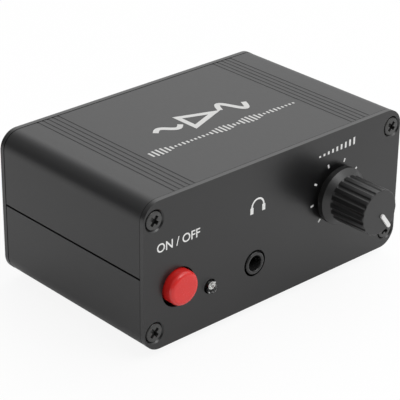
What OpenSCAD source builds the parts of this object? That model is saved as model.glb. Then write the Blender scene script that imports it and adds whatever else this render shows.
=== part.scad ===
// Small stereo preamplifier in a two-half extruded aluminium case, sizes in millimetres.
// X runs to the right seen from the front, Y to the back, Z up; the feet stand on Z = 0.

/* [Case] */
// width of the end plates
panel_w = 77; // [69:0.5:88]
// height of the end plates
panel_h = 34.7; // [31:0.1:40]
// depth from the front face to the rear face
case_d = 48; // [43:0.5:60]
// corner radius of the end plates
plate_r = 4.4; // [3.8:0.1:5]
// thickness of the plates at their rim
plate_t = 1.15; // [1.15:0.05:1.6]
// step behind the rim that leaves the dark line round the case
plate_step = 0.15; // [0.15:0.05:0.5]
// how far the plates stand proud of the shell
plate_proud = 0.05; // [0.05:0.05:0.4]
// wall of the extrusion
shell_wall = 1.6; // [1.4:0.1:1.8]
// open line between the two halves
seam_gap = 0.3; // [0.2:0.05:0.5]
// height of the tongue that locks the halves
tongue_h = 1.4; // [1:0.1:2]
// thickness of the tongue
tongue_t = 0.75; // [0.6:0.05:0.8]

/* [Grooves] */
// grooves in each bunch
groove_count = 5; // [3:1:5]
// distance between two grooves
groove_pitch = 1.4; // [1.2:0.02:1.5]
// radius of the tool that cuts a groove
groove_r = 1; // [0.8:0.05:1.2]
// depth of a groove
groove_deep = 0.12; // [0.08:0.01:0.16]
// middle of a bunch in from the side of the plate
groove_side = 12.2; // [11.5:0.05:18]

/* [Plate screws] */
// screw axis in from the side edge of the plate
screw_in_x = 2.95; // [2.9:0.05:3.2]
// screw axis in from the upper or lower edge of the plate
screw_in_z = 4.25; // [4.2:0.05:4.6]
// radius of the countersink at the face of the plate
sink_r = 2.6; // [2.5:0.05:2.6]
// radius of the screw head, which sits down in the countersink
head_r = 2.2; // [2.1:0.05:2.3]
// radius of the screw shank
shank_r = 1.3; // [1.3:0.05:1.4]
// length of a screw under the face of the plate
screw_len = 8; // [6:0.5:12]

/* [Feet] */
// radius of a foot
foot_r = 4; // [3:0.25:5]
// height of a foot
foot_h = 2; // [1:0.25:4]
// foot axis in from the side of the shell
foot_in_x = 11; // [9:0.5:14]
// foot axis in from the face of the plate
foot_in_y = 9; // [8:0.5:12]

/* [Circuit board] */
// top of the board above the lower edge of the plate
board_lift = 8.15; // [8.1:0.05:8.4]
// thickness of the board
board_t = 1.2; // [1:0.05:1.2]
// front edge of the board behind the face of the plate
board_front = 5.2; // [5.2:0.1:6]

/* [Power button] */
// button axis in from the left side of the plate
switch_side = 9.55; // [8.5:0.05:11]
// button axis above the board
switch_up = 5; // [4.7:0.05:5.4]
// radius of the red cap
cap_r = 3.95; // [3.8:0.05:4.1]
// how far the cap stands out of the plate
cap_out = 2.3; // [2.2:0.1:4]
// how far the cap sits above the middle of its hole
cap_high = 0.25; // [0:0.05:0.25]
// gap between the cap and a hole it sits in the middle of
cap_gap = 0.6; // [0.4:0.05:0.7]
// travel of the button
cap_travel = 2; // [1:0.1:2]

/* [Lamp] */
// distance from the button axis to the lamp axis
led_step = 8.95; // [8:0.05:12]
// lamp axis above the board
led_up = 1.55; // [1.5:0.05:2.5]
// radius of the lamp
led_r = 1.5; // [1.25:0.05:1.5]
// how far the dome stands out of the plate
led_out = 1.7; // [1:0.1:2]

/* [Phones jack] */
// jack axis in from the left side of the plate
jack_side = 31.65; // [30.5:0.05:33]
// jack axis above the board
jack_up = 2.4; // [2.35:0.05:3]
// radius of the plug hole
jack_bore_r = 1.8; // [1.78:0.01:1.85]
// radius of the nose in the plate
jack_nose_r = 2.65; // [2.5:0.05:2.9]
// gap between the nose and its hole
jack_gap = 0.45; // [0.3:0.05:0.5]
// how far the nose stands out of the plate
jack_out = 0.25; // [0.05:0.05:0.3]

/* [Volume control] */
// control axis in from the right side of the plate
pot_side = 20.75; // [19.5:0.05:22]
// control axis above the board
pot_up = 11.45; // [11:0.05:12.5]
// radius of the shaft
shaft_r = 3; // [2.9:0.05:3]
// radius of the threaded bushing
bush_r = 3.5; // [3.5:0.05:3.6]
// distance across the flats of the nut
nut_af = 9; // [8.6:0.1:9]
// radius of the skirt of the knob
skirt_r = 6.7; // [6.4:0.1:7.5]
// radius of the fluted body at its foot
knob_r = 5.4; // [5.2:0.05:5.8]
// top of the knob in front of the plate
knob_out = 13.4; // [12:0.1:16]
// flutes round the knob
flute_count = 18; // [12:1:20]
// radius of a flute
flute_r = 0.55; // [0.4:0.05:0.6]
// angle of the pointer past the top of the dial
pointer_angle = 143; // [0:1:150]
// how far the pointer stands out of the top of the knob
pointer_high = 0.4; // [0.2:0.05:0.5]

/* [Line sockets] */
// axis of the input pair in from the side of the plate
rca_side = 14.5; // [12:0.5:15.5]
// distance between the two pairs
rca_step = 16; // [15:0.5:18]
// lower socket axis above the board
rca_up = 4.7; // [4.6:0.05:5]
// upper socket axis below the upper edge of the plate
rca_top_in = 9.35; // [9:0.05:9.6]
// radius of a sleeve, for 8.3 mm plugs
rca_r = 4.15; // [4.1:0.01:4.2]
// how far the sleeves stand out of the plate
rca_out = 9; // [8:0.25:11]

/* [Supply inlet] */
// inlet axis in from the side of the plate
dc_side = 12.5; // [10.5:0.5:14]
// inlet axis above the board
dc_up = 6; // [5.5:0.1:6.5]
// radius of the hole for a 5.5 mm plug
dc_bore_r = 2.9; // [2.85:0.05:3.1]
// radius of the centre pin
dc_pin_r = 1.05; // [1:0.05:1.25]

/* [Fits] */
// gap round pieces that are screwed or pushed together
fit = 0.05; // [0.02:0.01:0.08]
// gap round the board in its slots
card_gap = 0.2; // [0.1:0.05:0.3]
// gap between a lamp, a bushing or a socket and its hole in a plate
hole_gap = 0.2; // [0.1:0.05:0.3]

/* [Hidden] */
$fn = 72;
plate_total = plate_t + plate_step;
shell_len = case_d - 2 * plate_total;
shell_w = panel_w - 2 * plate_proud;
shell_h = panel_h - 2 * plate_proud;
shell_r = plate_r - plate_proud;
inner_w = shell_w - 2 * shell_wall;
groove_x = panel_w / 2 - groove_side;
groove_axis = shell_h / 2 + groove_r - groove_deep;
screw_x = panel_w / 2 - screw_in_x;
screw_z = panel_h / 2 - screw_in_z;
boss_r = shank_r + 0.75;
head_low = 0.05;
head_rim = sink_r - head_r - fit;
recess_deep = 1;
z_mid = foot_h + shell_h / 2;
y_front = (knob_out + pointer_high - rca_out - case_d) / 2;

board_top = board_lift - panel_h / 2;
board_low = board_top - board_t;
board_w = inner_w - 2 * card_gap;
board_rear = case_d - plate_total - 0.8;
rail_in = inner_w / 2 - 1.6;
lead_r = 0.35;
lead_tail = 0.9;
lead_gap = 0.1;

switch_x = switch_side - panel_w / 2;
switch_z = board_top + switch_up;
hole_r = cap_r + cap_gap;
housing_front = plate_total + cap_travel + 4.6;
housing_len = 12;
housing_w = 8.6;
plunger_w = 3.2;
carriage_w = 5;
carriage_len = 5;

led_x = switch_x + led_step;
led_z = board_top + led_up;
jack_x = jack_side - panel_w / 2;
jack_z = board_top + jack_up;
jack_depth = 15.4;
pot_x = panel_w / 2 - pot_side;
pot_z = board_top + pot_up;
pot_w = 16.6;
pot_rear = plate_total + 11;
washer_t = 0.4;
nut_t = 1.5;
bush_out = washer_t + nut_t + 0.4;
cavity_top = bush_out + 0.4;
cavity_r = nut_af / 2 / cos(30) + 0.3;
knob_gap = 1;
skirt_rim = 2.5;
skirt_top = 3.6;
socket_end = knob_out - 2.2;
shaft_flat = shaft_r - 1.4;
knob_top_r = knob_r - 0.05;
knob_bend = 0.6;
flute_top = 0.5;
pointer_w = 1;
pointer_deep = knob_bend;
pointer_in = 1.35;
pointer_end = knob_top_r - pointer_w / 2;

rca_front = case_d - plate_total - 10;
rca_block_w = 12.5;
rca_in_x = panel_w / 2 - rca_side;
rca_out_x = rca_in_x - rca_step;
rca_low_z = board_top + rca_up;
rca_high_z = panel_h / 2 - rca_top_in;
rca_wall = 0.5;
rca_inner_r = rca_r - rca_wall;
rca_neck_r = rca_r - rca_wall;
rca_neck_in = rca_neck_r - rca_wall;
rca_step_at = case_d + 0.2;
rca_axes = [for (x = [rca_in_x, rca_out_x]) for (z = [rca_low_z, rca_high_z]) [x, z]];
white_axes = [for (x = [rca_in_x, rca_out_x]) [x, rca_high_z]];
red_axes = [for (x = [rca_in_x, rca_out_x]) [x, rca_low_z]];
dc_x = dc_side - panel_w / 2;
dc_z = board_top + dc_up;
dc_front = case_d - plate_total - 13;
dc_bottom = case_d - 10;
dc_nose_r = dc_bore_r + 1;
dc_root_r = dc_pin_r + 0.3;
dc_pin_end = case_d - 1.2 - dc_pin_r;
dc_leaf_x = dc_x + dc_bore_r + 0.2;

screw_axes = [for (x = [-1, 1]) for (z = [-1, 1]) [x * screw_x, z * screw_z]];
foot_x = shell_w / 2 - foot_in_x;
foot_axes = [for (x = [-foot_x, foot_x]) for (y = [foot_in_y, case_d - foot_in_y]) [x, y]];

// leads through the board, each as a place across and a depth behind the face
switch_leads = [for (x = [-2.5, 2.5]) for (s = [2, 6, 10]) [switch_x + x, housing_front + s]];
led_leads_at = [for (x = [-1.27, 1.27]) [led_x + x, board_front + 2.4]];
jack_springs = [[1, 2.2, 5.9], [-1, 7.9, 11.6], [1, 8.6, 12.3]];
jack_leads = [for (c = jack_springs) [jack_x + c[0] * (jack_bore_r + 0.3), c[2]]];
pot_leads = [for (x = [-5, 0, 5]) for (s = [6.6, 10.6]) [pot_x + x, s]];
rca_leads = [for (x = [rca_in_x, rca_out_x]) for (d = [-4.6, 0, 4.6]) [x + d, rca_front + 3 + abs(d)]];
dc_leads = [[dc_x, dc_front + 1.4], [dc_leaf_x, dc_front + 4.55]];
dip_leads = [for (x = [-3.81, -1.27, 1.27, 3.81]) for (s = [-3.81, 3.81]) [x, s]];
dip_socket_w = 10.2;
dip_socket_len = 10;
op_amp_at = [jack_x - 1, jack_depth + 0.8 + dip_socket_len / 2];
socket_leads = [for (p = dip_leads) op_amp_at + p];
converter_at = [(dc_x + rca_out_x) / 2, board_rear - 8.3];
converter_leads = [for (p = dip_leads) converter_at + p];
regulator_w = 10;
regulator_t = 4.4;
regulator_at = [dc_x, dc_front - 0.5 - regulator_t / 2];
regulator_leads = [for (d = [-2.54, 0, 2.54]) regulator_at + [d, 0]];
diode_r = 1.35;
diode_span = 5;
diode_at = [dc_x, housing_front + housing_len + 0.5 + diode_r];
diode_leads = [for (d = [-diode_span, diode_span]) diode_at + [d, 0]];
supply_r = 3.15;
supply_x = (dc_x + regulator_w / 2 + op_amp_at[0] - dip_socket_w / 2) / 2;
supply_cans = [for (k = [0, 1]) [supply_x, 18.5 + 7 * k]];
coupling_r = 2.5;
coupling_s = pot_rear + 0.9 + coupling_r;
coupling_cans = [for (k = [-1.5:1:1.5]) [pot_x + 6 * k, coupling_s]];
can_pairs = [for (c = concat(supply_cans, coupling_cans)) for (d = [-1.25, 1.25]) c + [d, 0]];
film_w = 7.2;
film_t = 2.5;
row_pitch = 3.05;
row_start = coupling_s + coupling_r + 0.6 + film_t / 2;
film_boxes = [for (k = [0:3]) [pot_x, row_start + row_pitch * k]];
film_pairs = [for (c = film_boxes) for (d = [-2.5, 2.5]) c + [d, 0]];
resistor_span = 3.8;
resistor_step = film_w / 2 + resistor_span + 2 * lead_r;
resistor_rows = [for (x = [-1, 1]) for (k = [0:3]) [pot_x + x * resistor_step, row_start + row_pitch * k]];
resistor_pairs = [for (c = resistor_rows) for (d = [-resistor_span, resistor_span]) c + [d, 0]];
round_leads = concat(switch_leads, led_leads_at, pot_leads, rca_leads, socket_leads, converter_leads,
    can_pairs, film_pairs, resistor_pairs, regulator_leads, diode_leads);
flat_leads = concat(jack_leads, dc_leads);

// gives a flat shape in panel coordinates a length along the depth
module slab(s, len) {
    translate([0, y_front + s + len, z_mid])
        rotate([90, 0, 0])
            linear_extrude(len)
                children();
}

// turns an outline of radius and depth about an axis along the depth
module turned(x, z, s) {
    translate([x, y_front + s, z_mid + z])
        rotate([-90, 0, 0])
            rotate_extrude()
                children();
}

// the same from the rear face inwards
module turned_back(x, z) {
    translate([x, y_front + case_d, z_mid + z])
        rotate([90, 0, 0])
            rotate_extrude()
                children();
}

// a block given by its middle across, its depth, its foot and its size
module block(x, s, z, w, len, h) {
    translate([x - w / 2, y_front + s, z_mid + z])
        cube([w, len, h]);
}

// an upright round piece standing at a height
module post(p, z, r, h) {
    translate([p[0], y_front + p[1], z_mid + z])
        cylinder(h = h, r = r);
}

// round leads from under the board up to a height
module lead_set(list, top) {
    for (p = list)
        post(p, board_low - lead_tail, lead_r, top - board_low + lead_tail);
}

module rounded(w, h, r) {
    square([w - 2 * r, h], center = true);
    square([w, h - 2 * r], center = true);
    for (x = [-1, 1])
        for (z = [-1, 1])
            translate([x * (w / 2 - r), z * (h / 2 - r)])
                circle(r);
}

// one half of the case in section, drawn as the upper half; the lower half is the same bar turned over
module half_section() {
    difference() {
        union() {
            difference() {
                rounded(shell_w, shell_h, shell_r);
                rounded(inner_w, shell_h - 2 * shell_wall, shell_r - shell_wall);
                translate([-shell_w, -shell_h])
                    square([2 * shell_w, shell_h + seam_gap / 2]);
            }
            for (m = [0, 1])
                mirror([m, 0])
                    corner_rails();
            translate([inner_w / 2, -tongue_h])
                square([tongue_t, tongue_h + 1]);
        }
        translate([-inner_w / 2 - tongue_t - fit, -1])
            square([tongue_t + fit + 1, tongue_h + 1]);
        for (m = [-1, 1])
            for (k = [0:groove_count - 1])
                translate([m * groove_x + (k - (groove_count - 1) / 2) * groove_pitch, groove_axis])
                    circle(groove_r);
        for (m = [-1, 1])
            translate([m * screw_x, screw_z])
                circle(shank_r + fit);
    }
}

// screw channel and card slot in one corner of the bar
module corner_rails() {
    intersection() {
        union() {
            translate([screw_x, screw_z])
                circle(boss_r);
            translate([screw_x, screw_z])
                square([shell_w, boss_r]);
            translate([screw_x, screw_z])
                square([boss_r, shell_h]);
        }
        rounded(shell_w, shell_h, shell_r);
    }
    translate([rail_in, -board_top - card_gap - 0.9])
        square([inner_w / 2 - rail_in + 0.5, 0.9]);
    translate([rail_in, -board_low])
        square([inner_w / 2 - rail_in + 0.5, 0.9]);
}

// countersunk screw in section, with a straight rim round its head
module screw_outline() {
    polygon([[0, head_low], [head_r, head_low], [head_r, head_rim],
        [shank_r, head_rim + head_r - shank_r], [shank_r, screw_len], [0, screw_len]]);
}

// the countersunk hole it goes through, wider at the face than the head
module screw_hole() {
    polygon([[0, -1], [sink_r + 1, -1], [shank_r + fit, sink_r - shank_r - fit],
        [shank_r + fit, screw_len], [0, screw_len]]);
}

// cross recess in a head whose face is at a depth
module cross_recess(x, s, z) {
    for (a = [45, 135])
        translate([x, y_front + s, z_mid + z])
            rotate([0, a, 0])
                cube([0.7, 2 * recess_deep, 2.5], center = true);
}

module upper_shell() {
    color([0.16, 0.16, 0.17])
        slab(plate_total, shell_len)
            half_section();
}

module lower_shell() {
    color([0.16, 0.16, 0.17])
        slab(plate_total, shell_len)
            rotate(180)
                half_section();
}

module plate_step_outline() {
    rounded(shell_w - 0.8, shell_h - 0.8, shell_r - 0.4);
}

module front_plate() {
    color([0.13, 0.13, 0.14])
        difference() {
            union() {
                slab(0, plate_t)
                    rounded(panel_w, panel_h, plate_r);
                slab(plate_t, plate_step)
                    plate_step_outline();
            }
            for (p = screw_axes)
                turned(p[0], p[1], 0)
                    screw_hole();
            slab(-1, plate_total + 2)
                translate([switch_x, switch_z - cap_high])
                    circle(hole_r);
            slab(-1, plate_total + 2)
                translate([led_x, led_z])
                    circle(led_r + hole_gap);
            slab(-1, plate_total + 2)
                translate([jack_x, jack_z])
                    circle(jack_nose_r + jack_gap);
            slab(-1, plate_total + 2)
                translate([pot_x, pot_z])
                    circle(bush_r + hole_gap / 2);
        }
}

module rear_plate() {
    color([0.13, 0.13, 0.14])
        difference() {
            union() {
                slab(case_d - plate_t, plate_t)
                    rounded(panel_w, panel_h, plate_r);
                slab(case_d - plate_total, plate_step)
                    plate_step_outline();
            }
            for (p = screw_axes)
                turned_back(p[0], p[1])
                    screw_hole();
            for (p = rca_axes)
                slab(case_d - plate_total - 1, plate_total + 2)
                    translate(p)
                        circle(rca_r + hole_gap);
            slab(case_d - plate_total - 1, plate_total + 2)
                translate([dc_x, dc_z])
                    circle(dc_nose_r + hole_gap);
        }
}

module front_screws() {
    color([0.1, 0.1, 0.11])
        for (p = screw_axes)
            difference() {
                turned(p[0], p[1], 0)
                    screw_outline();
                cross_recess(p[0], head_low, p[1]);
            }
}

module rear_screws() {
    color([0.1, 0.1, 0.11])
        for (p = screw_axes)
            difference() {
                turned_back(p[0], p[1])
                    screw_outline();
                cross_recess(p[0], case_d - head_low, p[1]);
            }
}

// moulded rubber feet with a slightly smaller sole
module rubber_feet() {
    color([0.08, 0.08, 0.08])
        for (p = foot_axes)
            translate([p[0], y_front + p[1], 0])
                rotate_extrude()
                    polygon([[0, 0], [foot_r - 0.6, 0], [foot_r - 0.2, 0.4],
                        [foot_r, foot_h], [0, foot_h]]);
}

module circuit_board() {
    color([0.05, 0.3, 0.16])
        difference() {
            block(0, board_front, board_low, board_w, board_rear - board_front, board_t);
            for (p = round_leads)
                post(p, board_low - 1, lead_r + lead_gap, board_t + 2);
            for (p = flat_leads)
                post(p, board_low - 1, 0.6, board_t + 2);
        }
}

// red cap with a rounded front edge, pushed on the square plunger
module button_cap() {
    edge = 1.1;
    steps = [for (a = [0:15:90]) [cap_r - edge + edge * cos(a), -cap_out + edge - edge * sin(a)]];
    color([0.8, 0.1, 0.1])
        difference() {
            turned(switch_x, switch_z, 0)
                polygon(concat([[0, plate_total + 2], [cap_r, plate_total + 2]], steps, [[0, -cap_out]]));
            slab(0, plate_total + 3)
                translate([switch_x, switch_z])
                    square(plunger_w + 2 * fit, center = true);
            slab(plate_t, plate_total + 3)
                translate([switch_x, switch_z])
                    difference() {
                        circle(cap_r - 0.8);
                        circle(plunger_w / sqrt(2) + 0.6);
                    }
        }
}

module switch_plunger() {
    color([0.9, 0.9, 0.86])
        union() {
            slab(0, housing_front + 2)
                translate([switch_x, switch_z])
                    square(plunger_w, center = true);
            slab(housing_front + 1.8, carriage_len)
                translate([switch_x, switch_z])
                    square(carriage_w, center = true);
        }
}

module switch_housing() {
    rise = board_top - switch_z;
    color([0.12, 0.12, 0.13])
        difference() {
            block(switch_x, housing_front, board_top, housing_w, housing_len, switch_up + 4.3);
            slab(housing_front - 1, housing_len)
                translate([switch_x, switch_z])
                    square(plunger_w + 4 * fit, center = true);
            slab(housing_front + 1.5, carriage_len + cap_travel + 0.8)
                translate([switch_x, switch_z])
                    square(carriage_w + 6 * fit, center = true);
            for (x = [-1, 1])
                block(switch_x + x * housing_w / 2, housing_front + 4, board_top + 1, 0.8, 4, -rise);
        }
}

module switch_terminals() {
    color([0.75, 0.75, 0.72])
        lead_set(switch_leads, board_top);
}

// clear lamp with a domed end and a rim at its base
module lamp_lens() {
    color([0.85, 0.9, 0.95])
        union() {
            slab(led_r - led_out, 3.6)
                translate([led_x, led_z])
                    circle(led_r);
            translate([led_x, y_front + led_r - led_out, z_mid + led_z])
                sphere(led_r);
            slab(led_r - led_out + 3, 0.8)
                translate([led_x, led_z])
                    circle(led_r + 0.35);
        }
}

module lamp_leads() {
    start = led_r - led_out + 3.8;
    color([0.75, 0.75, 0.72])
        for (p = led_leads_at)
            union() {
                slab(start, p[1] - start)
                    translate([p[0], led_z])
                        circle(lead_r);
                post(p, board_low - lead_tail, lead_r, led_z - board_low + lead_tail);
                translate([p[0], y_front + p[1], z_mid + led_z])
                    sphere(lead_r);
            }
}

module jack_body() {
    color([0.07, 0.07, 0.08])
        difference() {
            union() {
                block(jack_x, plate_total, board_top, 9, jack_depth - plate_total, jack_up + 3.2);
                slab(-jack_out, plate_total + jack_out + 0.2)
                    translate([jack_x, jack_z])
                        circle(jack_nose_r);
            }
            slab(-1, jack_depth)
                translate([jack_x, jack_z])
                    circle(jack_bore_r);
            for (c = jack_springs) {
                translate([jack_x, y_front + c[1] - 0.4, z_mid + jack_z - 1])
                    mirror([c[0] > 0 ? 0 : 1, 0, 0])
                        cube([jack_bore_r + 0.9, 5.2, 2]);
                block(jack_x + c[0] * (jack_bore_r + 0.3), c[2] - 0.6, board_top - 1, 0.6, 1.2, jack_up);
            }
        }
}

// three leaf contacts just outside the plug hole, each with a leg through the board
module jack_contacts() {
    color([0.8, 0.7, 0.4])
        for (c = jack_springs)
            union() {
                block(jack_x + c[0] * (jack_bore_r + 0.3), c[1], jack_z - 0.8, 0.3, 4.4, 1.6);
                block(jack_x + c[0] * (jack_bore_r + 0.3), c[2] - 0.4, board_low - lead_tail,
                    0.3, 0.8, jack_z - board_low + lead_tail);
            }
}

module shaft_outline(gap) {
    difference() {
        circle(shaft_r + gap);
        translate([-2 * shaft_r, shaft_flat + gap])
            square(4 * shaft_r);
    }
}

module pointer_outline(gap) {
    translate([-pointer_w / 2 - gap, pointer_in])
        square([pointer_w + 2 * gap, pointer_end - pointer_in]);
    for (d = [pointer_in, pointer_end])
        translate([0, d])
            circle(pointer_w / 2 + gap);
}

// fluted knob with a rounded top edge, hollow at its foot for the nut
module volume_knob() {
    bend = [for (a = [90:-15:0])
        [knob_top_r - knob_bend * (1 - cos(a)), knob_bend * (1 - sin(a)) - knob_out]];
    color([0.09, 0.09, 0.1])
        difference() {
            turned(pot_x, pot_z, 0)
                polygon(concat([[0, -knob_out]], bend, [[knob_r, -skirt_top], [skirt_r, -skirt_rim],
                    [skirt_r, -knob_gap], [cavity_r, -knob_gap], [cavity_r, -cavity_top],
                    [0, -cavity_top]]));
            for (k = [0:flute_count - 1])
                slab(flute_top - knob_out, knob_out - flute_top - skirt_top)
                    translate([pot_x, pot_z])
                        rotate(k * 360 / flute_count)
                            translate([knob_r + 0.15, 0])
                                circle(flute_r);
            slab(-socket_end, socket_end)
                translate([pot_x, pot_z])
                    rotate(-pointer_angle)
                        shaft_outline(fit);
            slab(-knob_out - 1, 1 + pointer_deep)
                translate([pot_x, pot_z])
                    rotate(-pointer_angle)
                        pointer_outline(0.02);
        }
}

// white rib let into the top of the knob
module knob_pointer() {
    color([0.95, 0.95, 0.95])
        slab(-knob_out - pointer_high, pointer_high + pointer_deep)
            translate([pot_x, pot_z])
                rotate(-pointer_angle)
                    pointer_outline(0);
}

module volume_shaft() {
    color([0.7, 0.7, 0.68])
        union() {
            slab(0.3 - socket_end, socket_end - 0.3 - cavity_top)
                translate([pot_x, pot_z])
                    rotate(-pointer_angle)
                        shaft_outline(0);
            slab(-cavity_top, cavity_top + pot_rear - 1.6)
                translate([pot_x, pot_z])
                    circle(shaft_r);
        }
}

// two wiper carriers, one for each channel
module volume_rotors() {
    color([0.85, 0.8, 0.7])
        for (s = [plate_total + 2.4, plate_total + 6.6])
            slab(s, 2)
                translate([pot_x, pot_z])
                    difference() {
                        circle(pot_w / 2 - 2);
                        circle(shaft_r + fit / 2);
                    }
}

module volume_bushing() {
    color([0.78, 0.76, 0.68])
        slab(-bush_out, bush_out + plate_total + 1.6)
            translate([pot_x, pot_z])
                difference() {
                    circle(bush_r);
                    circle(shaft_r + fit);
                }
}

module volume_washer() {
    color([0.75, 0.75, 0.75])
        slab(-washer_t, washer_t)
            translate([pot_x, pot_z])
                difference() {
                    circle(bush_r + 1.6);
                    circle(bush_r + fit);
                }
}

module volume_nut() {
    color([0.75, 0.75, 0.75])
        slab(-washer_t - nut_t, nut_t)
            translate([pot_x, pot_z])
                difference() {
                    circle(nut_af / 2 / cos(30), $fn = 6);
                    circle(bush_r + fit);
                }
}

module volume_housing() {
    color([0.6, 0.6, 0.58])
        difference() {
            slab(plate_total, pot_rear - plate_total)
                union() {
                    translate([pot_x, pot_z])
                        circle(pot_w / 2);
                    translate([pot_x - pot_w / 2, board_top])
                        square([pot_w, pot_up]);
                }
            slab(plate_total - 1, 4)
                translate([pot_x, pot_z])
                    circle(bush_r + fit);
            slab(plate_total + 1.6, pot_rear - plate_total - 2.8)
                translate([pot_x, pot_z])
                    circle(pot_w / 2 - 1.2);
        }
}

module volume_terminals() {
    color([0.75, 0.75, 0.72])
        lead_set(pot_leads, board_top);
}

module socket_housings() {
    color([0.08, 0.08, 0.09])
        for (x = [rca_in_x, rca_out_x])
            difference() {
                block(x, rca_front, board_top, rca_block_w, 10, rca_high_z - board_top + 4.8);
                for (p = rca_axes)
                    slab(rca_front + 3, 8)
                        translate(p)
                            circle(rca_neck_r + fit);
                block(x, rca_front + 0.8, (rca_low_z + rca_high_z) / 2 - 0.6, rca_block_w + 2, 1.2, 1.2);
            }
}

// plated outer contacts that the plugs slide over
module socket_sleeves() {
    color([0.8, 0.79, 0.76])
        for (p = rca_axes)
            turned(p[0], p[1], 0)
                polygon([[rca_neck_in, rca_front + 3], [rca_neck_r, rca_front + 3],
                    [rca_neck_r, rca_step_at], [rca_r, rca_step_at], [rca_r, case_d + rca_out - 0.3],
                    [rca_r - 0.25, case_d + rca_out], [rca_inner_r, case_d + rca_out],
                    [rca_inner_r, rca_step_at + rca_wall], [rca_neck_in, rca_step_at + rca_wall]]);
}

module insert_outline() {
    ledge = rca_step_at + rca_wall + fit;
    polygon([[2.15, rca_front + 3], [rca_neck_in - fit, rca_front + 3], [rca_neck_in - fit, ledge],
        [rca_inner_r - fit, ledge], [rca_inner_r - fit, case_d + rca_out - 0.8],
        [2.3, case_d + rca_out - 0.4], [1.8, case_d + rca_out - 0.4], [1.8, case_d + rca_out - 1.4],
        [2.15, case_d + rca_out - 1.4]]);
}

module white_inserts() {
    color([0.92, 0.92, 0.9])
        for (p = white_axes)
            turned(p[0], p[1], 0)
                insert_outline();
}

module red_inserts() {
    color([0.75, 0.08, 0.08])
        for (p = red_axes)
            turned(p[0], p[1], 0)
                insert_outline();
}

module socket_contacts() {
    color([0.8, 0.72, 0.45])
        for (p = rca_axes)
            turned(p[0], p[1], 0)
                polygon([[1.68, rca_front + 4], [1.68, case_d + rca_out - 1.5],
                    [2.1, case_d + rca_out - 1.5], [2.1, rca_front + 3],
                    [0, rca_front + 3], [0, rca_front + 4]]);
}

module socket_terminals() {
    color([0.75, 0.75, 0.72])
        lead_set(rca_leads, board_top);
}

module inlet_body() {
    color([0.08, 0.08, 0.09])
        difference() {
            union() {
                block(dc_x, dc_front, board_top, 9, 13, dc_up + 4.6);
                slab(case_d - plate_total - 0.5, plate_total + 0.4)
                    translate([dc_x, dc_z])
                        circle(dc_nose_r);
            }
            slab(dc_bottom, 12)
                translate([dc_x, dc_z])
                    circle(dc_bore_r);
            slab(dc_front - 1, dc_bottom - dc_front + 2)
                translate([dc_x, dc_z])
                    circle(dc_root_r + fit);
            block(dc_x, dc_front - 1, board_top - 1, 6, 2.8, dc_up + 0.2);
            block(dc_leaf_x, dc_front + 3.9, board_top - 1, 0.7, 8.4, dc_up + 2);
        }
}

// centre pin, riveted to the rear leg
module inlet_pin() {
    color([0.82, 0.81, 0.78])
        union() {
            slab(dc_front + 0.6, dc_bottom - dc_front - 0.6)
                translate([dc_x, dc_z])
                    circle(dc_root_r);
            slab(dc_bottom, dc_pin_end - dc_bottom)
                translate([dc_x, dc_z])
                    circle(dc_pin_r);
            translate([dc_x, y_front + dc_pin_end, z_mid + dc_z])
                sphere(dc_pin_r);
            block(dc_x, dc_front + 1.2, board_low - lead_tail, 1, 0.4, dc_z - board_low + lead_tail);
        }
}

module inlet_spring() {
    color([0.8, 0.79, 0.76])
        union() {
            block(dc_leaf_x, dc_front + 4.3, board_top + 0.6, 0.3, 7.6, dc_up - 0.2);
            block(dc_leaf_x, dc_front + 4.3, board_low - lead_tail, 0.3, 0.5, board_t + lead_tail + 1);
        }
}

module dip_body(at, z, h) {
    difference() {
        block(at[0], at[1] - 3.2, z, 9.6, 6.4, h);
        post(at + [-4.8, 0], z + h - 0.4, 0.8, 1);
    }
}

module op_amp_socket() {
    color([0.1, 0.1, 0.1])
        union() {
            difference() {
                block(op_amp_at[0], op_amp_at[1] - dip_socket_len / 2, board_top,
                    dip_socket_w, dip_socket_len, 4);
                block(op_amp_at[0], op_amp_at[1] - 2.6, board_top - 1, 6.2, 5.2, 6);
                for (p = socket_leads)
                    post(p, board_top + 1, 0.45, 4);
            }
            lead_set(socket_leads, board_top + 0.2);
        }
}

module op_amp_chip() {
    color([0.15, 0.15, 0.16])
        union() {
            dip_body(op_amp_at, board_top + 4, 3.3);
            for (p = dip_leads) {
                post(op_amp_at + p, board_top + 1.4, 0.28, 4.2);
                block(op_amp_at[0] + p[0], op_amp_at[1] + (p[1] > 0 ? 3 : -4.09), board_top + 5.2,
                    0.56, 1.09, 0.4);
            }
        }
}

module converter_chip() {
    color([0.15, 0.15, 0.16])
        union() {
            dip_body(converter_at, board_top + 0.5, 3.3);
            for (p = dip_leads) {
                post(converter_at + p, board_low - lead_tail, 0.28, board_t + lead_tail + 2.1);
                block(converter_at[0] + p[0], converter_at[1] + (p[1] > 0 ? 3 : -4.09), board_top + 1.8,
                    0.56, 1.09, 0.4);
            }
        }
}

// can with a rolled neck, standing on its rubber seal
module can(p, r, h) {
    union() {
        translate([p[0], y_front + p[1], z_mid + board_top])
            rotate_extrude()
                polygon([[0, 0], [r - 0.3, 0], [r, 0.3], [r, 1.3], [r - 0.35, 1.6], [r, 1.9],
                    [r, h - 0.3], [r - 0.3, h], [0, h]]);
        for (d = [-1.25, 1.25])
            post(p + [d, 0], board_low - lead_tail, lead_r, board_t + lead_tail + 0.2);
    }
}

module supply_capacitors() {
    color([0.1, 0.12, 0.25])
        for (p = supply_cans)
            can(p, supply_r, 12);
}

module coupling_capacitors() {
    color([0.15, 0.3, 0.2])
        for (p = coupling_cans)
            can(p, coupling_r, 11);
}

module film_capacitors() {
    color([0.7, 0.15, 0.1])
        for (p = film_boxes)
            union() {
                block(p[0], p[1] - film_t / 2, board_top, film_w, film_t, 6.5);
                for (d = [-2.5, 2.5])
                    post(p + [d, 0], board_low - lead_tail, lead_r, board_t + lead_tail + 0.2);
            }
}

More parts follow.
